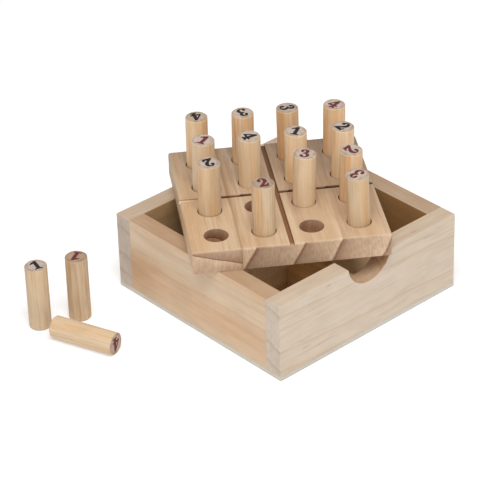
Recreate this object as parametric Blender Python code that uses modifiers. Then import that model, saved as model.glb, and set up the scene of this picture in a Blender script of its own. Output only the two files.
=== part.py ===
"""Number-peg board game: an open wooden box, the peg board that lies across it, and its pegs.

Metres, +Z up. The origin is the middle of the box's base, on the surface that it stands on. The wall
with the finger notch is the front and faces -Y; left is -X. The peg board has its own axes, turned about
Z: its grain and its columns run front to back, and its rows are counted from its back edge.
"""

import math

import bmesh
import bpy
from mathutils import Matrix, Vector

MM = 0.001
GAP = 0.3 * MM  # clearance between pieces that are glued together or rest on each other

BOX_SIDE = 125 * MM
BOX_HEIGHT = 44.4 * MM
WALL = 10.4 * MM
BASE_THICKNESS = 2.6 * MM
EASED_EDGE = 0.5 * MM
NOTCH_RADIUS = 15 * MM
NOTCH_CENTRE_ABOVE_RIM = 2 * MM

DIVIDER_THICKNESS = 4 * MM
DIVIDER_TOP = 28.2 * MM

BOARD_WIDTH = 101.6 * MM
BOARD_DEPTH = 103.4 * MM
BOARD_THICKNESS = 12.1 * MM
BOARD_ROUNDING = 1.2 * MM
NARROW_STAVE_WIDTH = 25.4 * MM
BOARD_PLACE = Vector((-2.1, 3.8)) * MM  # middle of the board, from the middle of the box
BOARD_TURN = math.radians(-34.1)

HOLE_PITCH = 24.4 * MM
HOLE_DIAMETER = 12.7 * MM
HOLE_DEPTH = 8.6 * MM
GROOVE_WIDTH = 2.4 * MM
GROOVE_DEPTH = 1.6 * MM

PEG_DIAMETER = 11.8 * MM
PEG_LENGTH = 36.8 * MM
PEG_CHAMFER = 0.5 * MM
ROUND_SIDES = 32

# Each peg in the board: its hole as (row from the back, column from the left), and its lean in degrees
# (to the board's right, towards the board's back). A peg is named by its printed colour and digit.
STANDING_PEGS = {
    "peg_black_4_a": ((1, 1), (0.5, 0.0)),
    "peg_black_3_a": ((1, 2), (0.5, -0.5)),
    "peg_black_3_b": ((1, 3), (-0.5, 1.0)),
    "peg_red_4_a": ((1, 4), (0.5, -0.5)),
    "peg_red_1_a": ((2, 1), (1.0, -2.0)),
    "peg_black_4_b": ((2, 2), (0.0, -3.0)),
    "peg_black_1_a": ((2, 3), (0.0, -1.0)),
    "peg_black_2_a": ((2, 4), (1.0, -1.0)),
    "peg_black_2_b": ((3, 1), (0.5, -0.5)),
    "peg_red_3_a": ((3, 3), (1.5, -0.5)),
    "peg_red_2_a": ((3, 4), (0.5, -2.0)),
    "peg_red_2_b": ((4, 2), (0.0, -1.0)),
    "peg_red_3_b": ((4, 4), (-2.5, -2.5)),
}

# The pegs beside the box stand, or lie, on the same surface as the box.
LOOSE_STANDING_PEGS = {
    "peg_black_1_b": Vector((-116.9, 62.1)) * MM,
    "peg_red_1_b": Vector((-96.8, 54.2)) * MM,
}
LYING_PEG = "peg_red_4_b"
LYING_PEG_MIDDLE = Vector((-111.5, 31.5)) * MM
LYING_PEG_HEADING = math.radians(-70.6)  # from +X to the direction that its printed end points in


# ---- the scene, its collections and its materials ----

def clear_scene():
    for obj in list(bpy.data.objects):
        bpy.data.objects.remove(obj)


def new_collection(name):
    collection = bpy.data.collections.new(name)
    bpy.context.scene.collection.children.link(collection)
    return collection


def new_wood(name, colour, roughness):
    material = bpy.data.materials.new(name)
    material.use_nodes = True
    shader = material.node_tree.nodes["Principled BSDF"]
    shader.inputs["Base Color"].default_value = (*colour, 1.0)
    shader.inputs["Roughness"].default_value = roughness
    shader.inputs["Metallic"].default_value = 0.0
    return material


# ---- basic shapes ----

def new_object(name, bm, collection, material=None):
    mesh = bpy.data.meshes.new(name)
    bm.to_mesh(mesh)
    bm.free()
    obj = bpy.data.objects.new(name, mesh)
    collection.objects.link(obj)
    if material:
        mesh.materials.append(material)
    return obj


def block(name, low, high, collection, material=None):
    """A box between two corners, with its origin in its middle."""
    low, high = Vector(low), Vector(high)
    bm = bmesh.new()
    bmesh.ops.create_cube(bm, size=1.0)
    bmesh.ops.scale(bm, vec=high - low, verts=bm.verts)
    obj = new_object(name, bm, collection, material)
    obj.location = (low + high) / 2
    return obj


def rod(name, diameter, length, collection, material=None):
    """A round bar along its own Z, standing on its origin."""
    bm = bmesh.new()
    bmesh.ops.create_cone(bm, cap_ends=True, segments=ROUND_SIDES, radius1=diameter / 2,
                          radius2=diameter / 2, depth=length)
    bmesh.ops.translate(bm, vec=(0, 0, length / 2), verts=bm.verts)
    return new_object(name, bm, collection, material)


def ease_edges(obj, edges):
    """Break the named edges of a block; an edge is named by the signs of its middle's coordinates."""
    bm = bmesh.new()
    bm.from_mesh(obj.data)
    chosen = []
    for edge in bm.edges:
        middle = (edge.verts[0].co + edge.verts[1].co) / 2
        if tuple(round(value / abs(value)) if abs(value) > 1e-6 else 0 for value in middle) in edges:
            chosen.append(edge)
    bmesh.ops.bevel(bm, geom=chosen, offset=EASED_EDGE, segments=1, affect="EDGES", profile=0.5)
    bm.to_mesh(obj.data)
    bm.free()


def round_all_edges(obj, width, segments):
    bevel = obj.modifiers.new("rounded edges", "BEVEL")
    bevel.width = width
    bevel.segments = segments
    bevel.limit_method = "ANGLE"
    bevel.angle_limit = math.radians(40)


def cut(obj, *cutters):
    for cutter in cutters:
        boolean = obj.modifiers.new("cut by " + cutter.name, "BOOLEAN")
        boolean.operation = "DIFFERENCE"
        boolean.solver = "EXACT"
        boolean.object = cutter
        cutter.hide_render = True
        cutter.display_type = "WIRE"


def smooth_round_faces(obj):
    obj.data.shade_smooth()
    obj.data.set_sharp_from_angle(angle=math.radians(30))


# ---- the box ----

def make_box(parts, cutters, wood, pale_wood):
    half = BOX_SIDE / 2
    inner = half - WALL
    block("base_panel", (-half, -half, 0), (half, half, BASE_THICKNESS), parts, pale_wood)

    foot = BASE_THICKNESS + GAP
    front = block("front_wall", (-half, -half, foot), (half, -inner, BOX_HEIGHT), parts, wood)
    back = block("back_wall", (-half, inner, foot), (half, half, BOX_HEIGHT), parts, wood)
    for wall, outward in ((front, -1), (back, 1)):
        rim_edges = [(0, outward, 1), (-1, 0, 1), (1, 0, 1)]
        corner_edges = [(-1, outward, 0), (1, outward, 0)]
        ease_edges(wall, rim_edges + corner_edges)
    cut(front, make_notch(cutters))

    side_reach = inner - GAP
    left = block("left_wall", (-half, -side_reach, foot), (-inner, side_reach, BOX_HEIGHT), parts, wood)
    right = block("right_wall", (inner, -side_reach, foot), (half, side_reach, BOX_HEIGHT), parts, wood)
    ease_edges(left, [(-1, 0, 1)])
    ease_edges(right, [(1, 0, 1)])

    make_dividers(parts, cutters, foot, side_reach, pale_wood)


def make_notch(cutters):
    """The half-round finger notch's cutter: a bar along Y through the middle of the front wall."""
    length = 3 * WALL
    notch = rod("finger_notch", 2 * NOTCH_RADIUS, length, cutters)
    notch.rotation_euler = (math.radians(-90), 0, 0)
    notch.location = (0, -BOX_SIDE / 2 - WALL, BOX_HEIGHT + NOTCH_CENTRE_ABOVE_RIM)
    return notch


def make_dividers(parts, cutters, foot, reach, wood):
    """Two thin boards half-lapped into a cross: each has a slot half its height where they meet."""
    half = DIVIDER_THICKNESS / 2
    along_x = block("divider_side_to_side", (-reach, -half, foot),
                    (reach, half, DIVIDER_TOP), parts, wood)
    along_y = block("divider_front_to_back", (-half, -reach, foot),
                    (half, reach, DIVIDER_TOP), parts, wood)

    slot = half + GAP
    lap = (foot + DIVIDER_TOP) / 2
    past = 2 * DIVIDER_THICKNESS
    upper_slot = block("upper_half_lap", (-slot, -past, lap - GAP / 2),
                       (slot, past, DIVIDER_TOP + past), cutters)
    lower_slot = block("lower_half_lap", (-past, -slot, foot - past),
                       (past, slot, lap + GAP / 2), cutters)
    cut(along_x, upper_slot)
    cut(along_y, lower_slot)


# ---- the peg board ----

def hole_place(row, column):
    """The middle of a hole's mouth, from the middle of the board's underside."""
    return Vector(((column - 2.5) * HOLE_PITCH, (2.5 - row) * HOLE_PITCH, BOARD_THICKNESS))


def make_board_axes(parts):
    axes = bpy.data.objects.new("board_axes", None)
    axes.location = (*BOARD_PLACE, BOX_HEIGHT + GAP)
    axes.rotation_euler = (0, 0, BOARD_TURN)
    parts.objects.link(axes)
    return axes


def make_peg_board(parts, cutters, axes, wood):
    """One rounded board, glued up from two staves, with its blind holes and its two crossed grooves."""
    right, back, top = BOARD_WIDTH / 2, BOARD_DEPTH / 2, BOARD_THICKNESS
    joint = -right + NARROW_STAVE_WIDTH
    past = top  # how far a cutter runs past the board
    half_groove = GROOVE_WIDTH / 2
    groove_floor = top - GROOVE_DEPTH

    column_groove = block("groove_between_columns", (-half_groove, -back - past, groove_floor),
                          (half_groove, back + past, top + past), cutters)
    row_groove = block("groove_between_rows", (-right - past, -half_groove, groove_floor),
                       (right + past, half_groove, top + past), cutters)
    sawn_right = block("right_of_the_glue_line", (joint - GAP / 2, -back - past, -past),
                       (right + past, back + past, top + past), cutters)
    sawn_left = block("left_of_the_glue_line", (-right - past, -back - past, -past),
                      (joint + GAP / 2, back + past, top + past), cutters)
    holes = {column: [make_hole(row, column, cutters) for row in range(1, 5)] for column in range(1, 5)}
    for cutter in (column_groove, row_groove, sawn_right, sawn_left, *sum(holes.values(), [])):
        cutter.parent = axes

    narrow_cuts = (sawn_right, row_groove, *holes[1])
    wide_cuts = (sawn_left, row_groove, column_groove, *holes[2], *holes[3], *holes[4])
    for name, cuts in (("board_narrow_stave", narrow_cuts), ("board_wide_stave", wide_cuts)):
        stave = block(name, (-right, -back, 0), (right, back, top), parts, wood)
        stave.parent = axes
        round_all_edges(stave, BOARD_ROUNDING, 2)
        cut(stave, *cuts)


def make_hole(row, column, cutters):
    depth = 2 * HOLE_DEPTH
    hole = rod(f"hole_{row}_{column}", HOLE_DIAMETER, depth, cutters)
    hole.location = hole_place(row, column) - Vector((0, 0, HOLE_DEPTH))
    return hole


# ---- the pegs ----

def make_peg(name, parts, wood):
    peg = rod(name, PEG_DIAMETER, PEG_LENGTH, parts, wood)
    round_all_edges(peg, PEG_CHAMFER, 1)
    smooth_round_faces(peg)
    return peg


def stand_peg_in_hole(peg, hole, lean, axes):
    """Lean the peg about the middle of its hole, with its foot just clear of the hole's floor."""
    to_right, to_back = (math.radians(angle) for angle in lean)
    turn = Matrix.Rotation(to_right, 4, "Y") @ Matrix.Rotation(-to_back, 4, "X")
    along = turn @ Vector((0, 0, 1))
    sunk_edge = PEG_DIAMETER / 2 * math.hypot(along.x, along.y)
    foot_height = GAP + sunk_edge
    half_in = (HOLE_DEPTH - foot_height) / 2
    pivot = hole_place(*hole) - Vector((0, 0, half_in))
    peg.parent = axes
    peg.rotation_euler = turn.to_euler()
    peg.location = pivot - along * (half_in / along.z)


def make_pegs(parts, axes, wood):
    for name, (hole, lean) in STANDING_PEGS.items():
        stand_peg_in_hole(make_peg(name, parts, wood), hole, lean, axes)
    for name, place in LOOSE_STANDING_PEGS.items():
        make_peg(name, parts, wood).location = (*place, 0)

    lying = make_peg(LYING_PEG, parts, wood)
    heading = Vector((math.cos(LYING_PEG_HEADING), math.sin(LYING_PEG_HEADING)))
    lying.rotation_euler = (0, math.radians(90), LYING_PEG_HEADING)
    lying.location = (*(LYING_PEG_MIDDLE - heading * PEG_LENGTH / 2), PEG_DIAMETER / 2)


def main():
    clear_scene()
    parts = new_collection("number_peg_game")
    cutters = new_collection("cutters")
    wall_wood = new_wood("wall_wood", (0.60, 0.42, 0.27), 0.6)
    pale_wood = new_wood("plywood", (0.72, 0.60, 0.46), 0.65)
    board_wood = new_wood("board_wood", (0.56, 0.38, 0.24), 0.6)
    peg_wood = new_wood("peg_wood", (0.66, 0.45, 0.25), 0.5)

    make_box(parts, cutters, wall_wood, pale_wood)
    axes = make_board_axes(parts)
    make_peg_board(parts, cutters, axes, board_wood)
    make_pegs(parts, axes, peg_wood)


main()
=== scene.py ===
"""The looks of the number-peg board game: an open pine box, a peg board lying across it, and its pegs.

Metres, +Z up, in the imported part's own frame. Every wooden piece is a finer mesh that stands for its CAD
node, built in its own axes: the wood's grain is measured from those axes, in millimetres.
"""
import math

import bmesh
import bpy
from mathutils import Matrix, Vector, noise


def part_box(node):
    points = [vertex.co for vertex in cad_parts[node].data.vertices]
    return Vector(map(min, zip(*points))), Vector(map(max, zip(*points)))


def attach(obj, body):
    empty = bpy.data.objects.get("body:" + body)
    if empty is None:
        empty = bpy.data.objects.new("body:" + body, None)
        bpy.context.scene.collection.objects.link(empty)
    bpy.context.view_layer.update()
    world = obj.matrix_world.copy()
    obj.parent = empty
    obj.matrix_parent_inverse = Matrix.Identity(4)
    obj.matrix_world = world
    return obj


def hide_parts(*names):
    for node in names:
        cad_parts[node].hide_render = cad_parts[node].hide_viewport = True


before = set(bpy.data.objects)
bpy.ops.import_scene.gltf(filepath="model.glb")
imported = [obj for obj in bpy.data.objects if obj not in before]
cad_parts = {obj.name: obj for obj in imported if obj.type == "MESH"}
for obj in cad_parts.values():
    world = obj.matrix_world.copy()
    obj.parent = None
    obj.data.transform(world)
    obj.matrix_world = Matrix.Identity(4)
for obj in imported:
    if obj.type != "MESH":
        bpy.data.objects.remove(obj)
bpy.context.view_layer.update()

MM = 0.001
TO_MM = 1000

# ---- the box's sizes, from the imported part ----

BASE_LOW, BASE_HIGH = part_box("base_panel")
HALF_BOX = BASE_HIGH.x
FOOT = BASE_HIGH.z  # the walls stand on the base
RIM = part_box("left_wall")[1].z
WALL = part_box("left_wall")[1].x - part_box("left_wall")[0].x
INNER = HALF_BOX - WALL

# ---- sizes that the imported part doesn't give as a node's box ----

NOTCH_RADIUS = 15 * MM
NOTCH_CENTRE_ABOVE_RIM = 2 * MM
DIVIDER_THICKNESS = 4 * MM
LAP_PLAY = 0.05 * MM  # between the two dividers where they cross

BOARD_WIDTH = 101.6 * MM
BOARD_DEPTH = 103.4 * MM
BOARD_THICKNESS = 12.1 * MM
BOARD_PLACE = Vector((-2.1, 3.8)) * MM  # middle of the board, from the middle of the box
BOARD_TURN = math.radians(-34.1)
GLUE_LINE = -25.4 * MM  # from the board's middle
HOLE_PITCH = 24.4 * MM
HOLE_RADIUS = 6.35 * MM
HOLE_DEPTH = 8.6 * MM
HOLE_LIP = 0.2 * MM
DIMPLE_RADIUS = 1.1 * MM  # the mark of the drill's centre point
DIMPLE_DEPTH = 0.7 * MM
GROOVE_WIDTH = 2.4 * MM
GROOVE_DEPTH = 1.6 * MM
GROOVE_LIP = 0.25 * MM
ABOVE_BOARD = 5 * MM  # how far the cutters stand out of the board's top

PEG_RADIUS = 5.9 * MM
PEG_LENGTH = 36.8 * MM
PEG_CHAMFER = 0.5 * MM
CHAMFER_BEND = 0.16 * MM  # how far the chamfer's edges are worn round
PEG_WEAR = 0.04 * MM
PEG_END_WEAR = 0.09 * MM

SOFT_EDGE = 0.45 * MM
JOINT_EDGE = 0.1 * MM
PLYWOOD_EDGE = 0.15 * MM
DIVIDER_EDGE = 0.3 * MM
BOARD_ROUNDING = 1.2 * MM
UNDERSIDE_EDGE = 0.15 * MM
BOARD_SETTLED = 0.25 * MM  # the finer board reaches down to just above the rim it rests on
SHARP = math.radians(35)  # edges that turn more than this are rounded, and divide the smooth shading
ROUND_SIDES = 72
NOTCH_STEPS = 56

PRINT_HEIGHT = 7.6 * MM
PRINT_SPREAD = 0.2 * MM  # how far the ink ran past the digit's outline
PRINT_THICKNESS = 0.03 * MM


def srgb(red, green, blue):
    """A colour as seen on a screen, 0 to 255, as the linear values that shaders use."""
    def linear(value):
        value /= 255
        return value / 12.92 if value <= 0.04045 else ((value + 0.055) / 1.055) ** 2.4
    return (linear(red), linear(green), linear(blue), 1.0)


# ---- materials ----

class Graph:
    """A material's nodes. Each call adds one node and returns its output."""

    def __init__(self, name):
        self.material = bpy.data.materials.new(name)
        self.material.use_nodes = True
        self.tree = self.material.node_tree
        self.shader = self.tree.nodes["Principled BSDF"]

    def add(self, kind, output=0, inputs=(), **settings):
        node = self.tree.nodes.new("ShaderNode" + kind)
        for name, value in settings.items():
            setattr(node, name, value)
        for socket, value in dict(inputs).items():
            self.plug(node.inputs[socket], value)
        return node.outputs[output]

    def plug(self, socket, value):
        if isinstance(value, bpy.types.NodeSocket):
            self.tree.links.new(value, socket)
        else:
            socket.default_value = value

    def math(self, operation, first, second=0.0, third=0.0):
        return self.add("Math", inputs={0: first, 1: second, 2: third}, operation=operation)

    def combine(self, x, y, z):
        return self.add("CombineXYZ", inputs={0: x, 1: y, 2: z})

    def noise(self, vector, scale, detail=2.0, roughness=0.5):
        return self.add("TexNoise", inputs={"Vector": vector, "Scale": scale, "Detail": detail,
                                            "Roughness": roughness})

    def step(self, value, low, high, to_low=0.0, to_high=1.0, shape="SMOOTHSTEP"):
        """value between low and high, turned smoothly into to_low and to_high."""
        return self.add("MapRange", inputs={"Value": value, "From Min": low, "From Max": high,
                                            "To Min": to_low, "To Max": to_high},
                        interpolation_type=shape)

    def mix(self, factor, first, second, blend="MIX"):
        return self.add("Mix", output=2, inputs={0: factor, 6: first, 7: second},
                        data_type="RGBA", blend_type=blend)

    def ramp(self, value, stops, smooth=False):
        """A colour ramp of grey levels, as (position, level) pairs."""
        node = self.tree.nodes.new("ShaderNodeValToRGB")
        node.color_ramp.interpolation = "EASE" if smooth else "LINEAR"
        elements = node.color_ramp.elements
        while len(elements) < len(stops):
            elements.new(0.5)
        for element, (position, level) in zip(elements, stops):
            element.position = position
            element.color = (level, level, level, 1.0)
        self.plug(node.inputs[0], value)
        return node.outputs[0]

    def axes(self):
        """The piece's own x, y and z, in millimetres, and its surface's direction."""
        coordinates = self.tree.nodes.new("ShaderNodeTexCoord")
        scaled = self.add("VectorMath", inputs={0: coordinates.outputs["Object"], "Scale": TO_MM},
                          operation="SCALE")
        split = self.tree.nodes.new("ShaderNodeSeparateXYZ")
        facing = self.tree.nodes.new("ShaderNodeSeparateXYZ")
        self.plug(split.inputs[0], scaled)
        self.plug(facing.inputs[0], coordinates.outputs["Normal"])
        return list(split.outputs), list(facing.outputs)


GRAIN_ORDER = {"x": (0, 1, 2), "y": (1, 0, 2), "z": (2, 0, 1)}


class Wood:
    """One piece of wood. Lengths are millimetres in the piece's own axes; colours are screen colours.

    pale and warm are the two tones that its broad bands drift between, line is its latewood, and end and
    end_line are the same for its end grain. heart is where the middle of the tree was, across the grain,
    and the rings are ring apart and wander. ring_shade, end_ring, pores, warmth, streak, dark_lines and
    fibre say how strongly each of these shows, from 0 to 1. The bands are band_size wide and band_reach
    long, and the streaks streak_size wide. rings, bands and marks are functions that draw the piece's own
    rings, bands, and marks on top.
    """

    def __init__(self, name, grain, seed, pale, warm, line, end, end_line, heart=(10.0, -60.0), ring=7.0,
                 wander=9.0, ring_shade=0.35, end_ring=0.8, pores=0.42, band_size=26.0, band_reach=70.0,
                 warmth=0.5, streak=0.5, streak_size=2.4, dark_lines=0.0, fibre=0.11, roughness=0.6,
                 rings=None, bands=None, marks=()):
        g = self.graph = Graph(name)
        self.material = g.material
        self.seed = seed
        place, self.facing = g.axes()
        self.along, self.across, self.deep = (place[i] for i in GRAIN_ORDER[grain])
        self.on_end = g.step(g.math("ABSOLUTE", self.facing[GRAIN_ORDER[grain][0]]), 0.45, 0.9)

        ring_shadow = rings(self) if rings else self.round_rings(heart, ring, wander)
        body = g.mix(self.warm_part(band_size, band_reach, warmth, bands), srgb(*pale), srgb(*warm))
        body = self.streaked(body, line, streak, streak_size, dark_lines)
        body = g.mix(g.math("MULTIPLY", ring_shadow, ring_shade), body, srgb(*line))
        cut = self.end_grain(srgb(*end), srgb(*end_line), g.math("MULTIPLY", ring_shadow, end_ring), pores)
        colour = g.mix(self.on_end, body, cut)

        fibres = g.noise(self.stretched(38), 1.9, detail=3.0, roughness=0.65)
        colour = g.mix(1.0, colour, self.fine_tone(fibres, fibre), "MULTIPLY")
        for mark in marks:
            colour = mark(self, colour)
        self.connect(colour, fibres, ring_shadow, roughness)

    def stretched(self, ratio, shift=0.0):
        """Coordinates in which noise is ratio times longer along the grain than across it."""
        g = self.graph
        return g.combine(g.math("MULTIPLY_ADD", self.along, 1 / ratio, self.seed * 7.3 + shift),
                         g.math("ADD", self.across, self.seed * 13.1 + shift),
                         g.math("ADD", self.deep, self.seed * 5.7))

    def warm_part(self, size, reach, warmth, bands):
        """How far towards its warm tone the wood is: soft clouds along the grain, and any bands."""
        g = self.graph
        cloud = g.noise(self.stretched(reach / size), 1 / size, detail=1.5)
        clouds = g.step(cloud, 0.62 - warmth * 0.5, 0.98 - warmth * 0.5)
        if not bands:
            return clouds
        return g.math("MULTIPLY_ADD", clouds, 0.3, g.math("MULTIPLY", bands(self), 0.7))

    def streaked(self, body, line, streak, streak_size, dark_lines):
        """Long soft streaks, and some thin darker lines, along the grain."""
        g = self.graph
        streaks = g.step(g.noise(self.stretched(24), 1 / streak_size, detail=3.0, roughness=0.6), 0.46, 0.74)
        body = g.mix(g.math("MULTIPLY", streaks, streak), body, srgb(*line))
        thin = g.step(g.noise(self.stretched(26, 5.1), 0.95, detail=2.0), 0.60, 0.70)
        darker = srgb(*(0.86 * level for level in line))
        return g.mix(g.math("MULTIPLY", thin, dark_lines), body, darker)

    def fine_tone(self, fibres, contrast):
        """A brightness that follows the fibres, short dark dashes and a soft mottle; shadows are warmer."""
        g = self.graph
        dashes = g.step(g.noise(self.stretched(11, 3.7), 2.6, detail=1.0), 0.66, 0.78)
        mottle = g.step(g.noise(self.stretched(2.2, 9.4), 0.16, detail=3.0), 0.3, 0.7, -0.035, 0.035)
        tone = g.math("ADD", g.step(fibres, 0.25, 0.75, 1.0 - contrast, 1.0 + 0.4 * contrast, "LINEAR"),
                      g.math("MULTIPLY_ADD", dashes, -0.9 * contrast, mottle))
        return g.combine(tone, g.math("POWER", tone, 1.2), g.math("POWER", tone, 1.45))

    def connect(self, colour, fibres, ring_shadow, roughness):
        """The shader: dull wood whose fibres and late wood stand out by hundredths of a millimetre."""
        g = self.graph
        relief = g.math("ADD", fibres, g.math("MULTIPLY", ring_shadow, 0.6))
        bump = g.add("Bump", inputs={"Strength": 0.22, "Distance": 0.06 * MM, "Height": relief})
        rough = g.step(fibres, 0.2, 0.8, roughness + 0.1, roughness - 0.06, "LINEAR")
        g.plug(g.shader.inputs["Base Color"], colour)
        g.plug(g.shader.inputs["Roughness"], rough)
        g.plug(g.shader.inputs["Normal"], bump)
        g.shader.inputs["IOR"].default_value = 1.42

    def round_rings(self, heart, ring, wander):
        """Growth rings round the heart: each darkens slowly outwards and ends at once."""
        g = self.graph
        drift = g.noise(self.stretched(2.6, 1.9), 0.035, detail=1.0)
        off_across = g.math("SUBTRACT", self.across, heart[0])
        off_deep = g.math("SUBTRACT", self.deep, heart[1])
        squared = g.math("MULTIPLY_ADD", off_across, off_across, g.math("MULTIPLY", off_deep, off_deep))
        radius = g.math("MULTIPLY_ADD", drift, wander, g.math("SQRT", squared))
        turn = g.math("FRACT", g.math("DIVIDE", radius, ring))
        return g.ramp(turn, [(0.0, 0.15), (0.5, 0.22), (0.86, 0.9), (0.94, 1.0), (1.0, 0.15)])

    def end_grain(self, pale, dark, ring_shadow, strength):
        """Cut fibres: the rings show more, over fine pores that line up a little through the board."""
        g = self.graph
        base = g.mix(ring_shadow, pale, dark)
        spot = g.combine(self.across, g.math("MULTIPLY", self.deep, 0.25),
                         g.math("MULTIPLY", self.along, 0.3))
        pores = g.step(g.noise(spot, 1.15, detail=4.0, roughness=0.75), 0.36, 0.70)
        return g.mix(g.math("MULTIPLY", pores, strength), base, dark)


def board_rings(lines, lean):
    """Nearly flat rings: dark just right of each line, fading towards the next. Lines are millimetres."""
    low, high = lines[0], lines[-1]
    wander, raggedness = 3.0, 0.6
    stops = []
    for first, second in zip(lines, lines[1:]):
        start, stop = (first - low) / (high - low), (second - low) / (high - low)
        stops += [(start + 0.002, 1.0), (start + 0.09 * (stop - start), 0.66),
                  (start + 0.35 * (stop - start), 0.42), (start + 0.75 * (stop - start), 0.27),
                  (stop - 0.006, 0.04)]

    def rings(wood):
        g = wood.graph
        drift = g.noise(wood.stretched(3.0, 1.9), 0.05, detail=2.0)
        tilted = g.math("MULTIPLY_ADD", wood.deep, -math.tan(lean), wood.across)
        ragged = g.noise(wood.stretched(6.0, 3.3), 0.7, detail=2.0)
        flat = g.math("MULTIPLY_ADD", drift, wander, g.math("SUBTRACT", tilted, (wander + raggedness) / 2))
        flat = g.math("MULTIPLY_ADD", ragged, raggedness, flat)
        return g.ramp(g.step(flat, low, high, shape="LINEAR"), stops)
    return rings


def narrow_stave_rings(wood):
    """One wide dark ring that slants down from the left over the upper half, and pale wood below it."""
    g = wood.graph
    drift = g.noise(wood.stretched(3.0, 4.1), 0.06, detail=2.0)
    from_left = g.math("ADD", wood.across, BOARD_WIDTH * TO_MM / 2)
    level = g.math("MULTIPLY_ADD", from_left, 0.29, wood.deep)
    level = g.math("MULTIPLY_ADD", drift, 1.2, level)
    return g.ramp(g.step(level, 0.0, 20.0, shape="LINEAR"),
                  [(0.0, 0.5), (0.3, 0.35), (0.52, 0.14), (0.555, 0.1), (0.565, 1.0), (0.61, 0.72),
                   (0.8, 0.5), (1.0, 0.42)])


def wall_rings(lines, lean, drift, fall=0.0):
    """Thin late-wood lines along a wall, at these heights in millimetres on its outer face.

    They lean through the wall's thickness, and fall towards its right end.
    """
    low, high = -10.0, 60.0  # heights that take in every line, however far it wanders
    stops = [(0.0, 0.0)]
    for line in lines:
        at = (line - low) / (high - low)
        stops += [(at - 0.05, 0.0), (at - 0.012, 0.4), (at - 0.004, 0.9), (at, 1.0), (at + 0.008, 0.0)]

    def rings(wood):
        g = wood.graph
        sway = g.noise(wood.stretched(4.0, 1.9), 0.04, detail=2.0)
        level = g.math("MULTIPLY_ADD", wood.across, math.tan(lean), wood.deep)
        level = g.math("MULTIPLY_ADD", wood.along, fall, level)
        level = g.math("MULTIPLY_ADD", g.math("SUBTRACT", sway, 0.5), drift, level)
        return g.ramp(g.step(level, low, high, shape="LINEAR"), stops)
    return rings


def height_bands(levels, slope, drift):
    """How warm the wood is at each height: (millimetres, warmth) pairs. The bands slope along the wall."""
    low, high = levels[0][0], levels[-1][0]

    def bands(wood):
        g = wood.graph
        sway = g.noise(wood.stretched(2.5, 6.6), 0.045, detail=2.0)
        level = g.math("MULTIPLY_ADD", wood.along, slope, wood.deep)
        level = g.math("MULTIPLY_ADD", g.math("SUBTRACT", sway, 0.5), drift, level)
        return g.ramp(g.step(level, low, high, shape="LINEAR"),
                      [((height - low) / (high - low), warmth) for height, warmth in levels], smooth=True)
    return bands


def glue_stain(wood, colour):
    """Darkens the wood beside the glue line, in a crisp line and a soft stain."""
    g = wood.graph
    distance = g.math("ABSOLUTE", g.math("SUBTRACT", wood.across, GLUE_LINE * TO_MM))
    uneven = g.noise(wood.stretched(9.0, 2.2), 0.3, detail=2.0)
    stain = g.math("MULTIPLY", g.step(distance, 0.1, 1.5, 0.55, 0.0), g.step(uneven, 0.3, 0.6, 0.35, 1.0))
    line = g.step(distance, 0.12, 0.3, 0.6, 0.0)
    return g.mix(g.math("MAXIMUM", stain, line), colour, srgb(140, 108, 68))


def hole_brown_and_shade(wood):
    """How brown the wood is in the board's holes: partly the drilled wood's own colour and partly painted
    shade, most on their floors, and not at all outside them.
    """
    g = wood.graph
    pitch = HOLE_PITCH * TO_MM

    def from_hole_line(value):
        return g.math("SUBTRACT", g.math("MODULO", g.math("ADD", value, 2 * pitch), pitch), pitch / 2)
    across, along = from_hole_line(wood.across), from_hole_line(wood.along)
    radius = g.math("SQRT", g.math("MULTIPLY_ADD", across, across, g.math("MULTIPLY", along, along)))
    in_hole = g.step(radius, HOLE_RADIUS * TO_MM + 0.1, HOLE_RADIUS * TO_MM + 0.5, 0.6, 0.0)
    top = BOARD_THICKNESS * TO_MM
    bottom = top - HOLE_DEPTH * TO_MM
    # darker deeper down the hole: painted shade
    below = g.step(wood.deep, top - 5.0, top - 0.4, 1.0, 0.25)
    below = g.math("MULTIPLY", below, g.step(wood.deep, top - 0.4, top - 0.1, 1.0, 0.0))
    below = g.math("MULTIPLY", below, g.step(wood.deep, bottom + 0.1, bottom + 0.6, 1.6, 1.0))
    return g.math("MULTIPLY", in_hole, below)


def in_a_groove(wood):
    """1 on the walls and floors of the board's two grooves, and 0 outside them."""
    g = wood.graph
    top = BOARD_THICKNESS * TO_MM
    floor = top - GROOVE_DEPTH * TO_MM
    wall = GROOVE_WIDTH * TO_MM / 2
    nearest = g.math("MINIMUM", g.math("ABSOLUTE", wood.across), g.math("ABSOLUTE", wood.along))
    between_walls = g.step(nearest, wall + 0.02, wall + 0.15, 1.0, 0.0)
    below = g.math("MULTIPLY", g.step(wood.deep, top - 1.2, top - 0.2, 1.0, 0.0),
                   g.step(wood.deep, floor - 0.15, floor - 0.05))
    return g.math("MULTIPLY", between_walls, below)


def worked_inside(wood, colour):
    """Drilled and sawn faces below the board's top are rougher and browner than its sanded top, and the holes
    get painted shade as well.

    The left end of the cross groove, and the front end of the other, are painted pale, as painted light.
    """
    g = wood.graph
    sawn, drilled_and_shaded = in_a_groove(wood), hole_brown_and_shade(wood)
    # painted light: the ends of the grooves are painted pale
    painted_light = g.math("MAXIMUM", g.step(wood.across, -46, -25, 1.0, 0.0), g.step(wood.along, -51, -47, 0.45, 0.0))
    pale = g.math("MULTIPLY", sawn, g.math("MULTIPLY", painted_light, 0.85))
    brown = g.math("MULTIPLY", sawn, g.math("SUBTRACT", 1.0, painted_light))
    colour = g.mix(pale, colour, srgb(250, 226, 188))
    colour = g.mix(brown, colour, g.mix(1.0, colour, srgb(176, 142, 110), "MULTIPLY"))
    return g.mix(drilled_and_shaded, colour, g.mix(1.0, colour, srgb(206, 170, 130), "MULTIPLY"))


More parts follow.
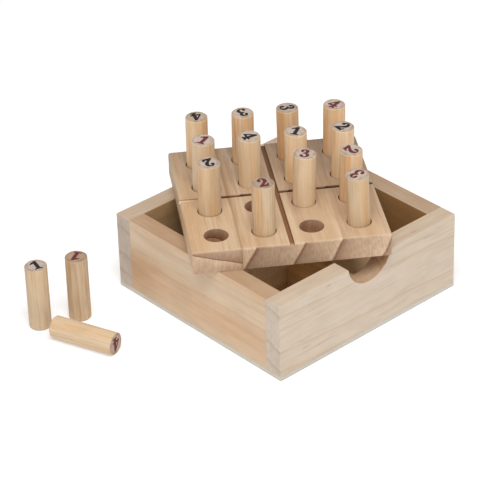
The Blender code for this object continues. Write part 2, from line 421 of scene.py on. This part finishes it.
def shaded_top_face(tone):
    """The faces that look up are painted a little darker and warmer: painted shade, darkest on the left
    wall's rim, where the board rests.
    """
    def mark(wood, colour):
        g = wood.graph
        upwards = g.step(wood.facing[2], 0.7, 0.95)
        return g.mix(upwards, colour, g.mix(1.0, colour, srgb(*tone), "MULTIPLY"))
    return mark


def flecks(wood, colour):
    """A few short resin ducts, reddish brown, along the grain."""
    g = wood.graph
    sparse = g.step(g.noise(wood.stretched(2.0, 12.3), 0.09, detail=1.0), 0.54, 0.66)
    ducts = g.step(g.noise(wood.stretched(9.0, 2.9), 0.9, detail=1.0), 0.70, 0.76)
    amount = g.math("MULTIPLY", g.math("MULTIPLY", sparse, ducts), 0.55)
    return g.mix(amount, colour, srgb(150, 96, 74))


def shaded_end_rim(wood, colour):
    """A peg's ends are painted greyer and darker towards their rims: painted shade at the chamfer."""
    g = wood.graph
    radius = g.math("SQRT", g.math("MULTIPLY_ADD", wood.across, wood.across,
                                   g.math("MULTIPLY", wood.deep, wood.deep)))
    patches = g.noise(g.combine(wood.across, wood.deep, wood.seed), 0.3, detail=3.0)
    uneven = g.step(patches, 0.3, 0.7, -1.0, 1.0)
    rim = g.step(g.math("ADD", radius, uneven), PEG_RADIUS * TO_MM - 2.2, PEG_RADIUS * TO_MM + 0.2)
    amount = g.math("MULTIPLY", wood.on_end, g.math("MULTIPLY", rim, 0.7))
    return g.mix(amount, colour, g.mix(1.0, colour, srgb(204, 198, 190), "MULTIPLY"))


def painted_inner_shade(tone):
    """The faces towards the inside of the box are painted browner and darker: painted shade, warm like the
    light bounced about inside it.
    """
    def mark(wood, colour):
        g = wood.graph
        inwards = g.step(wood.facing[1], 0.5, 0.9)
        return g.mix(inwards, colour, g.mix(1.0, colour, srgb(*tone), "MULTIPLY"))
    return mark


def notch_face(wood, colour):
    """The finger notch was bored and left unsanded: it is browner than the wall's faces, most of all where
    its sides are steep and the fibres were cut across."""
    g = wood.graph
    on_edge = g.step(g.math("ABSOLUTE", wood.facing[1]), 0.3, 0.8, 1.0, 0.0)
    in_notch = g.math("MULTIPLY", g.step(g.math("ABSOLUTE", wood.along), NOTCH_RADIUS * TO_MM - 0.1,
                                         NOTCH_RADIUS * TO_MM + 0.2, 1.0, 0.0),
                      g.step(wood.deep, RIM * TO_MM - 0.9, RIM * TO_MM - 0.4, 1.0, 0.0))
    above_foot = g.step(wood.deep, FOOT * TO_MM + 4, FOOT * TO_MM + 6)
    uneven = g.step(g.noise(wood.stretched(1.5, 8.1), 0.5, detail=3.0), 0.35, 0.65, 0.45, 1.0)
    steep = g.step(wood.deep, RIM * TO_MM - 12.5, RIM * TO_MM - 4, 0.45, 1.0)
    amount = g.math("MULTIPLY", on_edge, in_notch)
    amount = g.math("MULTIPLY", amount, g.math("MULTIPLY", above_foot, uneven))
    amount = g.math("MULTIPLY", amount, steep)
    return g.mix(amount, colour, g.mix(1.0, colour, srgb(243, 189, 122), "MULTIPLY"))


def painted_shade_at_the_back(wood, colour):
    """The board is painted greyer and darker towards its back right corner: painted shade, as from the pegs.
    """
    g = wood.graph
    towards = g.math("MULTIPLY_ADD", wood.across, 0.4, g.math("MULTIPLY", wood.along, 0.85))
    back_shade = g.step(towards, -20, 56, shape="LINEAR")
    return g.mix(back_shade, colour, g.mix(1.0, colour, srgb(184, 183, 187), "MULTIPLY"))


def darker_ends(wood, colour):
    """The left wall is a little browner low down near its ends, most of all near its back end."""
    g = wood.graph
    back = g.step(wood.along, -50, -22, 1.0, 0.0)
    front = g.step(wood.along, 15, 48, 0.0, 0.1)
    low = g.step(wood.deep, 16, 36, 1.0, 0.0)
    amount = g.math("MULTIPLY", g.math("MAXIMUM", back, front), low)
    return g.mix(amount, colour, g.mix(1.0, colour, srgb(236, 224, 212), "MULTIPLY"))


def ply_layers(wood, colour):
    """Three veneers seen from the edge, the middle one cut across its fibres, and a browner upper face whose
    brightness is partly painted light for the shaded inside of the box.
    """
    g = wood.graph
    core = g.math("MULTIPLY", g.step(wood.deep, 0.8, 0.95), g.step(wood.deep, 1.65, 1.8, 1.0, 0.0))
    edge = g.mix(g.math("MULTIPLY", core, 0.35), colour, srgb(214, 206, 192))
    # the upper face's pale brown is partly painted light
    upwards = g.step(wood.facing[2], 0.5, 0.9)
    return g.mix(upwards, edge, srgb(244, 212, 166))


def ink(name, colour, bare):
    """Printing ink with small gaps where the end grain took none."""
    g = Graph(name)
    place, _ = g.axes()
    spot = g.combine(*place)
    gaps = g.step(g.noise(spot, 2.4, detail=4.0, roughness=0.7), 0.60, 0.72)
    shade = g.step(g.noise(spot, 0.7, detail=2.0), 0.3, 0.7, 0.75, 1.25, "LINEAR")
    body = g.mix(1.0, srgb(*colour), g.combine(shade, shade, shade), "MULTIPLY")
    g.plug(g.shader.inputs["Base Color"], g.mix(g.math("MULTIPLY", gaps, 0.5), body, srgb(*bare)))
    g.plug(g.shader.inputs["Roughness"], g.step(gaps, 0.0, 1.0, 0.6, 0.8, "LINEAR"))
    g.shader.inputs["Specular IOR Level"].default_value = 0.12
    return g.material


# ---- mesh work ----

def middle(edge):
    return (edge.verts[0].co + edge.verts[1].co) / 2


def soften(bm, rules, segments=3):
    """Round the sharp edges. Each rule is (width, a test of the edge's middle)."""
    for width, holds in rules:
        chosen = [e for e in bm.edges
                  if len(e.link_faces) == 2 and e.calc_face_angle() > SHARP and holds(middle(e))]
        bmesh.ops.bevel(bm, geom=chosen, offset=width, offset_type="OFFSET", segments=segments,
                        profile=0.5, affect="EDGES", clamp_overlap=True)


def block(low, high):
    bm = bmesh.new()
    bmesh.ops.create_cube(bm, size=1.0)
    bmesh.ops.scale(bm, vec=Vector(high) - Vector(low), verts=bm.verts)
    bmesh.ops.translate(bm, vec=(Vector(low) + Vector(high)) / 2, verts=bm.verts)
    return bm


def slab(outline, near, far):
    """A flat outline of (x, z) points, made solid from y = near to y = far."""
    bm = bmesh.new()
    face = bm.faces.new([bm.verts.new((x, near, z)) for x, z in outline])
    grown = bmesh.ops.extrude_face_region(bm, geom=[face])
    moved = [item for item in grown["geom"] if isinstance(item, bmesh.types.BMVert)]
    bmesh.ops.translate(bm, vec=(0, far - near, 0), verts=moved)
    bmesh.ops.recalc_face_normals(bm, faces=bm.faces)
    return bm


def turned(profile, sides):
    """A profile of (radius, height) points, turned round Z into a closed solid."""
    bm = bmesh.new()
    points = [bm.verts.new((radius, 0, height)) for radius, height in profile]
    line = [bm.edges.new(pair) for pair in zip(points, points[1:])]
    bmesh.ops.spin(bm, geom=points + line, axis=(0, 0, 1), cent=(0, 0, 0), steps=sides,
                   angle=math.tau, use_merge=True)
    bmesh.ops.remove_doubles(bm, verts=bm.verts, dist=1e-7)
    bmesh.ops.recalc_face_normals(bm, faces=bm.faces)
    return bm


def new_object(name, bm, material=None):
    mesh = bpy.data.meshes.new(name)
    bm.to_mesh(mesh)
    bm.free()
    obj = bpy.data.objects.new(name, mesh)
    bpy.context.scene.collection.objects.link(obj)
    if material:
        mesh.materials.append(material)
    return obj


def cut(obj, cutters):
    """Take the cutters' shapes out of obj, for good."""
    for cutter in cutters:
        boolean = obj.modifiers.new(cutter.name, "BOOLEAN")
        boolean.operation = "DIFFERENCE"
        boolean.solver = "EXACT"
        boolean.object = cutter
    bpy.context.view_layer.update()
    whole = obj.evaluated_get(bpy.context.evaluated_depsgraph_get())
    mesh = bpy.data.meshes.new_from_object(whole)
    obj.modifiers.clear()
    obj.data = mesh


def shade(obj):
    """Smooth over the rounded edges, and keep the flat faces flat."""
    obj.data.shade_smooth()
    obj.data.set_sharp_from_angle(angle=SHARP)
    flatten = obj.modifiers.new("flat faces stay flat", "WEIGHTED_NORMAL")
    flatten.keep_sharp = True
    flatten.weight = 100


def finish_piece(obj, body, stands_for=None, place=None):
    if place is not None:
        obj.matrix_world = place
    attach(obj, body)
    if stands_for:
        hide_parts(stands_for)


# ---- the box ----

def notched_outline(half_length):
    """The front wall seen from the front, with its half-round finger notch."""
    centre = RIM + NOTCH_CENTRE_ABOVE_RIM
    start = math.asin(NOTCH_CENTRE_ABOVE_RIM / NOTCH_RADIUS)
    arc = []
    for i in range(NOTCH_STEPS + 1):
        angle = start + (math.pi - 2 * start) * i / NOTCH_STEPS
        arc.append((NOTCH_RADIUS * math.cos(angle), centre - NOTCH_RADIUS * math.sin(angle)))
    return [(-half_length, FOOT), (half_length, FOOT), (half_length, RIM), *arc, (-half_length, RIM)]


def make_box(woods):
    """The four walls, each in its own axes: x along its length, -y outwards, z up."""
    half = WALL / 2
    long_walls = {
        "front_wall": (notched_outline(HALF_BOX), 0),
        "back_wall": ([(-HALF_BOX, FOOT), (HALF_BOX, FOOT), (HALF_BOX, RIM), (-HALF_BOX, RIM)], 180),
    }
    short_outline = [(-INNER, FOOT), (INNER, FOOT), (INNER, RIM), (-INNER, RIM)]
    walls = {**long_walls, "left_wall": (short_outline, -90), "right_wall": (short_outline, 90)}
    for node, (outline, turn) in walls.items():
        is_joint = at_joint(node in long_walls, half)
        bm = slab(outline, -half, half)
        soften(bm, [(SOFT_EDGE, lambda p: not is_joint(p)), (JOINT_EDGE, is_joint)])
        wall = new_object("visual_" + node, bm, woods[node])
        shade(wall)
        facing = Matrix.Rotation(math.radians(turn), 4, "Z")
        outwards = facing @ Vector((0, -1, 0))
        finish_piece(wall, "box", node,
                     Matrix.Translation(outwards * (HALF_BOX - half)) @ facing)


def at_joint(is_long, half):
    """A test of an edge's middle: does the edge meet the next wall, or the base?"""
    def test(p):
        if p.z < FOOT + JOINT_EDGE:
            return True
        if is_long:
            return p.y > half - JOINT_EDGE and abs(p.x) > INNER
        return abs(p.x) > INNER - JOINT_EDGE
    return test


def make_base(material):
    bm = block(BASE_LOW, BASE_HIGH)
    soften(bm, [(PLYWOOD_EDGE, lambda p: True)], segments=2)
    base = new_object("visual_base_panel", bm, material)
    shade(base)
    finish_piece(base, "box", "base_panel")


def make_dividers(materials):
    """Two thin boards, half-lapped where they cross."""
    far_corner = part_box("divider_side_to_side")[1]
    half, top, reach = DIVIDER_THICKNESS / 2, far_corner.z, far_corner.x
    lap = (FOOT + top) / 2
    fit = half + LAP_PLAY
    slot_above = [(-reach, FOOT), (reach, FOOT), (reach, top), (fit, top), (fit, lap), (-fit, lap),
                  (-fit, top), (-reach, top)]
    slot_below = [(-reach, FOOT), (-fit, FOOT), (-fit, lap), (fit, lap), (fit, FOOT), (reach, FOOT),
                  (reach, top), (-reach, top)]
    pieces = (("divider_side_to_side", slot_above, 0), ("divider_front_to_back", slot_below, 90))
    for (node, outline, turn), material in zip(pieces, materials):
        bm = slab(outline, -half, half)
        soften(bm, [(DIVIDER_EDGE, lambda p: p.z > top - half), (JOINT_EDGE, lambda p: True)], segments=2)
        divider = new_object("visual_" + node, bm, material)
        shade(divider)
        finish_piece(divider, "box", node, Matrix.Rotation(math.radians(turn), 4, "Z"))


# ---- the peg board ----

def lip(radius, size, steps=4):
    """(radius, height) points where a hole's wall rounds over into the surface at height 0."""
    return [(radius + size * (1 - math.cos(t)), -size * (1 - math.sin(t)))
            for t in (math.pi / 2 * i / steps for i in range(steps + 1))]


def hole_cutter(x, y, surface):
    """A drilled blind hole with a worn lip and the small dimple of the drill's centre point."""
    edge = lip(HOLE_RADIUS, HOLE_LIP)
    profile = [(0, -HOLE_DEPTH - DIMPLE_DEPTH), (DIMPLE_RADIUS, -HOLE_DEPTH),
               (HOLE_RADIUS - HOLE_LIP, -HOLE_DEPTH), (HOLE_RADIUS, -HOLE_DEPTH + HOLE_LIP),
               *edge, (edge[-1][0], ABOVE_BOARD), (0, ABOVE_BOARD)]
    cutter = new_object("hole_cutter", turned(profile, ROUND_SIDES))
    cutter.location = (x, y, surface)
    return cutter


def groove_cutter(surface, reach, turn):
    """A sawn groove with slightly broken edges, along x or along y."""
    half = GROOVE_WIDTH / 2
    edge = lip(half, GROOVE_LIP)
    right = [(half, -GROOVE_DEPTH), *edge, (edge[-1][0], ABOVE_BOARD)]
    left = [(-x, z) for x, z in reversed(right)]
    cutter = new_object("groove_cutter", slab(right + left, -reach, reach))
    cutter.location = (0, 0, surface)
    cutter.rotation_euler = (0, 0, turn)
    return cutter


def make_board(narrow_wood, wide_wood):
    thickness = BOARD_THICKNESS
    right, back = BOARD_WIDTH / 2, BOARD_DEPTH / 2
    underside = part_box("board_wide_stave")[0].z
    place = Matrix.Translation((*BOARD_PLACE, underside)) @ Matrix.Rotation(BOARD_TURN, 4, "Z")
    cutters = [groove_cutter(thickness, 2 * back, 0), groove_cutter(thickness, 2 * back, math.pi / 2)]
    for row in range(4):
        for column in range(4):
            cutters.append(hole_cutter((column - 1.5) * HOLE_PITCH, (row - 1.5) * HOLE_PITCH, thickness))

    for node, start, stop, material in (("board_narrow_stave", -right, GLUE_LINE, narrow_wood),
                                        ("board_wide_stave", GLUE_LINE, right, wide_wood)):
        bm = block((start, -back, -BOARD_SETTLED), (stop, back, thickness))
        outer = [(BOARD_ROUNDING, lambda p: abs(p.x - GLUE_LINE) > MM and p.z > JOINT_EDGE),
                 (UNDERSIDE_EDGE, lambda p: abs(p.x - GLUE_LINE) > JOINT_EDGE and p.z < JOINT_EDGE)]
        soften(bm, outer, segments=5)
        stave = new_object("visual_" + node, bm, material)
        cut(stave, cutters)
        shade(stave)
        finish_piece(stave, "peg_board", node, place)
    for cutter in cutters:
        bpy.data.objects.remove(cutter)


# ---- the pegs ----

# Each peg: where the top of its digit points, as a heading in degrees from +X (the lying peg's points
# down), then from 0 to 1 how warm its wood is, how streaky, and how strong its thin dark lines are, and
# last how pale it is, as a factor: partly the peg's own tone and partly painted light, paler where the peg
# stands in more shade.
PEGS = {
    "peg_black_4_a": (-115, 0.45, 0.35, 0.1, 1.05),
    "peg_black_3_a": (-110, 0.65, 0.85, 0.3, 1.07),
    "peg_black_3_b": (-30, 0.80, 0.55, 0.5, 1.03),
    "peg_red_4_a": (10, 0.75, 0.50, 0.3, 1.08),
    "peg_red_1_a": (20, 0.35, 0.30, 0.1, 1.02),
    "peg_black_4_b": (-15, 0.35, 0.15, 0.0, 1.07),
    "peg_black_1_a": (30, 0.25, 0.15, 0.1, 1.12),
    "peg_black_2_a": (-5, 0.45, 0.45, 0.2, 1.10),
    "peg_black_2_b": (-110, 0.50, 0.45, 0.3, 0.99),
    "peg_red_3_a": (40, 0.25, 0.20, 0.2, 1.04),
    "peg_red_2_a": (-85, 0.50, 0.60, 0.3, 1.07),
    "peg_red_2_b": (65, 0.40, 0.60, 1.0, 0.98),
    "peg_red_3_b": (180, 0.50, 0.40, 0.3, 0.97),
    "peg_black_1_b": (75, 0.35, 0.30, 0.2, 0.97),
    "peg_red_1_b": (-150, 0.40, 0.70, 0.6, 0.94),
    "peg_red_4_b": (None, 0.30, 0.35, 0.3, 1.01),
}

# The screen colours of the pegs' wood at a paleness of 1, its brightest level, and its printed ends.
PEG_PALE, PEG_WARM, PEG_LINE = (209, 185, 153), (207, 167, 122), (168, 120, 76)
BRIGHTEST = 252
PEG_END = (194, 178, 165)
DARKER_PEG_ENDS = {
    "peg_red_1_b": (174, 147, 122),
    "peg_black_4_a": (186, 164, 144),
    "peg_black_3_b": (184, 166, 150),
    "peg_red_2_b": (172, 152, 134),
    "peg_red_4_b": (182, 158, 142),
}

# The digits' outlines, one unit high: each is a list of loops of points, and a point that the outline
# turns through smoothly ends in True.
DIGITS = {
    "1": [[(0.08, 0.00), (0.08, 0.06), (0.25, 0.10), (0.25, 0.77), (0.00, 0.70), (-0.02, 0.76), (0.34, 1.0),
           (0.46, 1.0), (0.46, 0.10), (0.62, 0.06), (0.62, 0.00)]],
    "2": [[(0.02, 0.00), (0.60, 0.00), (0.66, 0.32), (0.59, 0.32), (0.54, 0.20, True), (0.44, 0.18, True),
           (0.25, 0.18), (0.44, 0.36, True), (0.58, 0.53, True), (0.62, 0.72, True), (0.54, 0.91, True),
           (0.33, 1.0, True), (0.12, 0.93, True), (0.03, 0.77, True), (0.08, 0.65, True),
           (0.19, 0.65, True), (0.24, 0.75, True), (0.19, 0.86, True), (0.29, 0.93, True),
           (0.39, 0.86, True), (0.41, 0.70, True), (0.34, 0.50, True), (0.18, 0.29, True), (0.02, 0.11)]],
    "3": [[(0.06, 0.76, True), (0.10, 0.91, True), (0.31, 1.0, True), (0.52, 0.93, True),
           (0.59, 0.77, True), (0.54, 0.62, True), (0.43, 0.54), (0.57, 0.44, True), (0.63, 0.28, True),
           (0.54, 0.08, True), (0.29, 0.0, True), (0.09, 0.06, True), (0.02, 0.19, True),
           (0.08, 0.30, True), (0.19, 0.28, True), (0.22, 0.18, True), (0.20, 0.10, True),
           (0.30, 0.06, True), (0.41, 0.13, True), (0.44, 0.28, True), (0.37, 0.43, True),
           (0.22, 0.49), (0.22, 0.55), (0.35, 0.61, True), (0.40, 0.76, True), (0.36, 0.90, True),
           (0.27, 0.93, True), (0.22, 0.88, True), (0.24, 0.80, True), (0.20, 0.70, True),
           (0.11, 0.69, True)]],
    "4": [[(0.42, 1.0), (0.55, 1.0), (0.55, 0.37), (0.69, 0.37), (0.69, 0.25), (0.55, 0.25), (0.55, 0.10),
           (0.66, 0.06), (0.66, 0.00), (0.24, 0.00), (0.24, 0.06), (0.35, 0.10), (0.35, 0.25),
           (0.00, 0.25), (0.00, 0.35)],
          [(0.35, 0.37), (0.10, 0.37), (0.35, 0.77)]],
}


def make_digit(name, digit, material):
    """The digit as a thin layer of ink, its middle at the origin, its top towards +Y."""
    curve = bpy.data.curves.new(name, "CURVE")
    curve.dimensions = "2D"
    curve.fill_mode = "BOTH"
    curve.extrude = PRINT_THICKNESS / 2
    curve.resolution_u = 6
    curve.offset = PRINT_SPREAD
    points = [point for loop in DIGITS[digit] for point in loop]
    centre_x = (min(p[0] for p in points) + max(p[0] for p in points)) / 2
    for loop in DIGITS[digit]:
        spline = curve.splines.new("BEZIER")
        spline.use_cyclic_u = True
        spline.bezier_points.add(len(loop) - 1)
        for knot, point in zip(spline.bezier_points, loop):
            knot.co = ((point[0] - centre_x) * PRINT_HEIGHT, (point[1] - 0.5) * PRINT_HEIGHT, 0)
            handle = "AUTO" if len(point) == 3 else "VECTOR"
            knot.handle_left_type = knot.handle_right_type = handle
    shape = bpy.data.objects.new(name + "_outline", curve)
    bpy.context.scene.collection.objects.link(shape)
    bpy.context.view_layer.update()
    evaluated = shape.evaluated_get(bpy.context.evaluated_depsgraph_get())
    mesh = bpy.data.meshes.new_from_object(evaluated)
    bpy.data.objects.remove(shape)
    mesh.materials.clear()
    mesh.materials.append(material)
    obj = bpy.data.objects.new(name, mesh)
    bpy.context.scene.collection.objects.link(obj)
    return obj


def make_dowel(name, seed, material):
    """A sawn and tumbled dowel, standing on the origin: not quite round, its chamfers not quite even."""
    r, length, chamfer, bend = PEG_RADIUS, PEG_LENGTH, PEG_CHAMFER, CHAMFER_BEND
    # (radius, height) points from the middle of the end, over the worn chamfer, to half the length
    rise = [(r * k, 0) for k in (0, 0.5, 0.85)]
    rise += [(r - chamfer - bend, 0), (r - chamfer, 0.03 * MM), (r - 0.04 * MM, chamfer - 0.02 * MM),
             (r, chamfer + bend)]
    body = [(r, chamfer + bend + (length / 2 - chamfer - bend) * k / 4) for k in range(1, 5)]
    lower = rise + body
    profile = lower + [(radius, length - height) for radius, height in reversed(lower[:-1])]
    bm = turned(profile, ROUND_SIDES)
    for vert in bm.verts:
        radial = Vector((vert.co.x, vert.co.y, 0))
        if radial.length < r * 0.8:
            continue
        near_end = min(vert.co.z, length - vert.co.z) < 2 * chamfer
        spot = radial.normalized() * 1.3 + Vector((0, 0, vert.co.z / length * 2 + seed * 3.1))
        depth = (noise.noise(spot) - 0.4) * (PEG_END_WEAR if near_end else PEG_WEAR)
        vert.co += radial.normalized() * min(depth, 0)
    dowel = new_object(name, bm, material)
    shade(dowel)
    return dowel


def peg_ends(node):
    """Where a peg's foot is, and which way its axis points, from its CAD mesh.

    The printed end is the upper one, or on the lying peg the one nearer the front.
    """
    points = [v.co.copy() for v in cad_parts[node].data.vertices]
    centre = sum(points, Vector()) / len(points)
    rough = max(points, key=lambda p: (p - centre).length) - centre
    sides = [[p for p in points if (p - centre).dot(rough) * sign > 0] for sign in (1, -1)]
    ends = [sum(side, Vector()) / len(side) for side in sides]
    foot, head = sorted(ends, key=lambda p: 10 * p.z - p.y)
    axis = (head - foot).normalized()
    return (foot + head) / 2 - axis * PEG_LENGTH / 2, axis


def make_pegs(ink_of):
    for seed, (node, (heading, warmth, streak, dark_lines, paleness)) in enumerate(PEGS.items()):
        _, colour, digit, _ = node.split("_")
        # paleness is partly each peg's own tone and partly painted light
        pale, warm, line = ([min(BRIGHTEST, paleness * level) for level in tone]
                            for tone in (PEG_PALE, PEG_WARM, PEG_LINE))
        # The pegs' one mark paints shade on the rims of their ends.
        wood = Wood(node + "_wood", "z", seed + 31, pale=pale, warm=warm, line=line,
                    end=DARKER_PEG_ENDS.get(node, PEG_END), end_line=(140, 114, 92), heart=(14.0, 9.0),
                    ring=3.1, wander=5.0, ring_shade=0.04 + 0.12 * streak, end_ring=0.3, pores=0.3,
                    band_size=4.0, band_reach=60.0, warmth=0.1 + 0.8 * warmth,
                    streak=0.1 + 0.6 * streak, streak_size=1.4, dark_lines=0.6 * dark_lines,
                    fibre=0.09, roughness=0.55, marks=(shaded_end_rim,))
        foot, axis = peg_ends(node)
        up = Vector((0, 0, -1))
        if heading is not None:
            up = Matrix.Rotation(math.radians(heading), 3, "Z") @ Vector((1, 0, 0))
        across = up.cross(axis).normalized()
        up = axis.cross(across)
        place = Matrix.Translation(foot) @ Matrix((across, up, axis)).transposed().to_4x4()
        dowel = make_dowel("dowel" + node[3:], seed, wood.material)
        finish_piece(dowel, node, node, place)

        printed = make_digit("print" + node[3:], digit, ink_of[colour])
        top = Matrix.Translation((0, 0, PEG_LENGTH + PRINT_THICKNESS / 2))
        finish_piece(printed, node, None, place @ top)


# ---- the studio ----

CAMERA_TARGET = Vector((12.8, 50.8, 0)) * MM
CAMERA_AZIMUTH = math.radians(-41.27)
CAMERA_ELEVATION = math.radians(31.91)
CAMERA_ROLL = math.radians(-1.83)
CAMERA_DISTANCE = 1.28805
CAMERA_LENS = 176.43

ROOM_LIGHT = 0.66
LAMP_PLACE = Vector((-0.32, -0.38, 0.95))
LAMP_SIZE = 0.6
LAMP_POWER = 7.3
FLOOR_GLOW = 0.25  # keeps the floor white up to the pieces' feet, as in the photograph
FLOOR_HALF_SIZE = 4.0
FLOOR_CLEARANCE = 0.05 * MM


def make_camera():
    back = Vector((math.sin(CAMERA_AZIMUTH) * math.cos(CAMERA_ELEVATION),
                   -math.cos(CAMERA_AZIMUTH) * math.cos(CAMERA_ELEVATION), math.sin(CAMERA_ELEVATION)))
    data = bpy.data.cameras.new("camera")
    data.sensor_width = 36
    data.lens = CAMERA_LENS
    data.clip_end = 20
    camera = bpy.data.objects.new("camera", data)
    camera.location = CAMERA_TARGET + back * CAMERA_DISTANCE
    level = back.to_track_quat("Z", "Y").to_matrix().to_4x4()
    camera.rotation_euler = (level @ Matrix.Rotation(CAMERA_ROLL, 4, "Z")).to_euler()
    bpy.context.scene.collection.objects.link(camera)
    bpy.context.scene.camera = camera


def make_studio():
    """A white light table, which glows a little, in even light with one soft lamp overhead."""
    g = Graph("white_floor")
    place, _ = g.axes()
    grain = g.noise(g.combine(*place), 0.2, detail=3.0)
    g.plug(g.shader.inputs["Base Color"], g.mix(g.step(grain, 0.3, 0.7), srgb(231, 231, 231),
                                                srgb(228, 228, 228)))
    g.shader.inputs["Roughness"].default_value = 0.9
    g.shader.inputs["Emission Color"].default_value = (1.0, 1.0, 1.0, 1.0)
    g.shader.inputs["Emission Strength"].default_value = FLOOR_GLOW
    bm = bmesh.new()
    bmesh.ops.create_grid(bm, x_segments=1, y_segments=1, size=FLOOR_HALF_SIZE)
    floor = new_object("floor", bm, g.material)
    floor.location = (0, 0, -FLOOR_CLEARANCE)

    world = bpy.data.worlds.new("studio")
    world.use_nodes = True
    background = world.node_tree.nodes["Background"]
    background.inputs["Color"].default_value = (1.0, 1.0, 1.0, 1.0)
    background.inputs["Strength"].default_value = ROOM_LIGHT
    bpy.context.scene.world = world

    data = bpy.data.lights.new("overhead_softbox", "AREA")
    data.shape = "SQUARE"
    data.size = LAMP_SIZE
    data.energy = LAMP_POWER
    lamp = bpy.data.objects.new("overhead_softbox", data)
    lamp.location = LAMP_PLACE
    lamp.rotation_euler = (-LAMP_PLACE).to_track_quat("-Z", "Y").to_euler()
    bpy.context.scene.collection.objects.link(lamp)

    bpy.context.scene.view_settings.view_transform = "Standard"


# ---- what each piece is made of, in screen colours ----

def wall_woods():
    """Four boards: the front one is palest, the left one has warm bands, the right one is brownest."""
    # The marks paint shade on each wall's top faces, and on the inward faces of all but the left wall.
    front_look = {"end": (198, 184, 168), "end_line": (156, 134, 112), "end_ring": 0.55, "pores": 0.3,
                  "marks": (shaded_top_face((243, 238, 232)), painted_inner_shade((244, 220, 180)), notch_face, flecks)}
    back_look = dict(front_look, end=(186, 172, 158),
                     marks=(shaded_top_face((231, 224, 218)), painted_inner_shade((226, 202, 162)), flecks))
    left_look = dict(back_look, marks=(darker_ends, shaded_top_face((221, 213, 206)), flecks))
    right_look = dict(front_look, marks=(shaded_top_face((226, 222, 214)), painted_inner_shade((216, 188, 142)), flecks))
    warm_bands = [(0, 0.2), (6, 0.35), (14, 1.0), (23, 0.8), (31, 0.1), (38, 0.1), (44, 0.7)]
    tilt = math.radians(-18)
    return {
        "front_wall": Wood("front_wall_wood", "x", 3, pale=(202, 186, 167), warm=(203, 182, 158),
                           line=(176, 142, 110), rings=wall_rings([4, 15, 36], tilt, 8, fall=0.065),
                           ring_shade=0.34, band_size=20, band_reach=170, warmth=0.4, streak=0.2,
                           dark_lines=0.22, fibre=0.06, **front_look).material,
        "back_wall": Wood("back_wall_wood", "x", 5, pale=(206, 190, 172), warm=(202, 182, 158),
                          line=(170, 138, 104), rings=wall_rings([10, 21, 37], -tilt, 10),
                          ring_shade=0.35, band_size=16, band_reach=110, warmth=0.5, streak=0.25,
                          fibre=0.07, **back_look).material,
        "left_wall": Wood("left_wall_wood", "x", 8, pale=(207, 186, 160), warm=(201, 165, 130),
                          line=(174, 134, 98), rings=wall_rings([12, 27, 41], tilt, 22),
                          ring_shade=0.2, band_size=17, band_reach=90, warmth=0.5, streak=0.25,
                          fibre=0.06, bands=height_bands(warm_bands, 0.03, 12), **left_look).material,
        "right_wall": Wood("right_wall_wood", "x", 11, pale=(200, 178, 156), warm=(195, 163, 136),
                           line=(156, 120, 94), rings=wall_rings([9, 18, 34], -tilt, 16),
                           ring_shade=0.3, band_size=18, band_reach=80, warmth=0.5, streak=0.25,
                           fibre=0.07, **right_look).material,
    }


def plywood():
    return Wood("plywood", "x", 14, pale=(192, 187, 177), warm=(186, 179, 166), line=(170, 160, 143),
                end=(194, 189, 180), end_line=(186, 178, 166), ring=12, ring_shade=0.2, streak=0.2,
                fibre=0.03, marks=(ply_layers,)).material


def divider_woods():
    # The dividers' pale tones are partly painted light, lifting the shaded inside of the box.
    tones = (("divider_wood_across", 17, (252, 238, 216), (249, 230, 200)),
             ("divider_wood_along", 19, (248, 218, 170), (242, 206, 150)))
    return [Wood(name, "x", seed, pale=pale, warm=warm, line=(196, 150, 100), end=(204, 172, 134),
                 end_line=(172, 140, 104), ring=11, ring_shade=0.3, streak=0.3, fibre=0.08).material
            for name, seed, pale, warm in tones]


def board_woods():
    """The narrow stave's wood, then the wide one's, whose rings start at ring_lines on its underside."""
    # The last mark paints shade over the board towards its back.
    look = {"end": (216, 188, 157), "end_line": (112, 68, 46), "end_ring": 0.9, "pores": 0.34,
            "fibre": 0.11, "streak": 0.45, "streak_size": 2.0, "dark_lines": 0.2, "band_size": 13,
            "band_reach": 120, "marks": (glue_stain, worked_inside, painted_shade_at_the_back)}
    ring_lines = [-50, -23.9, 0.5, 20.0, 46.2, 60]
    ring_lean = math.radians(25.6)
    narrow = Wood("narrow_stave_wood", "y", 21, pale=(206, 181, 150), warm=(200, 165, 127),
                  line=(160, 124, 94), ring_shade=0.18, warmth=0.5, rings=narrow_stave_rings, **look)
    wide = Wood("wide_stave_wood", "y", 24, pale=(208, 182, 151), warm=(199, 166, 129),
                line=(156, 119, 92), ring_shade=0.3, warmth=0.5,
                rings=board_rings(ring_lines, ring_lean), **look)
    return narrow.material, wide.material


def inks():
    return {"black": ink("black_ink", (38, 36, 35), (150, 138, 126)),
            "red": ink("red_ink", (102, 48, 50), (160, 122, 112))}


def main():
    make_box(wall_woods())
    make_base(plywood())
    make_dividers(divider_woods())
    make_board(*board_woods())
    make_pegs(inks())
    make_studio()
    make_camera()


main()
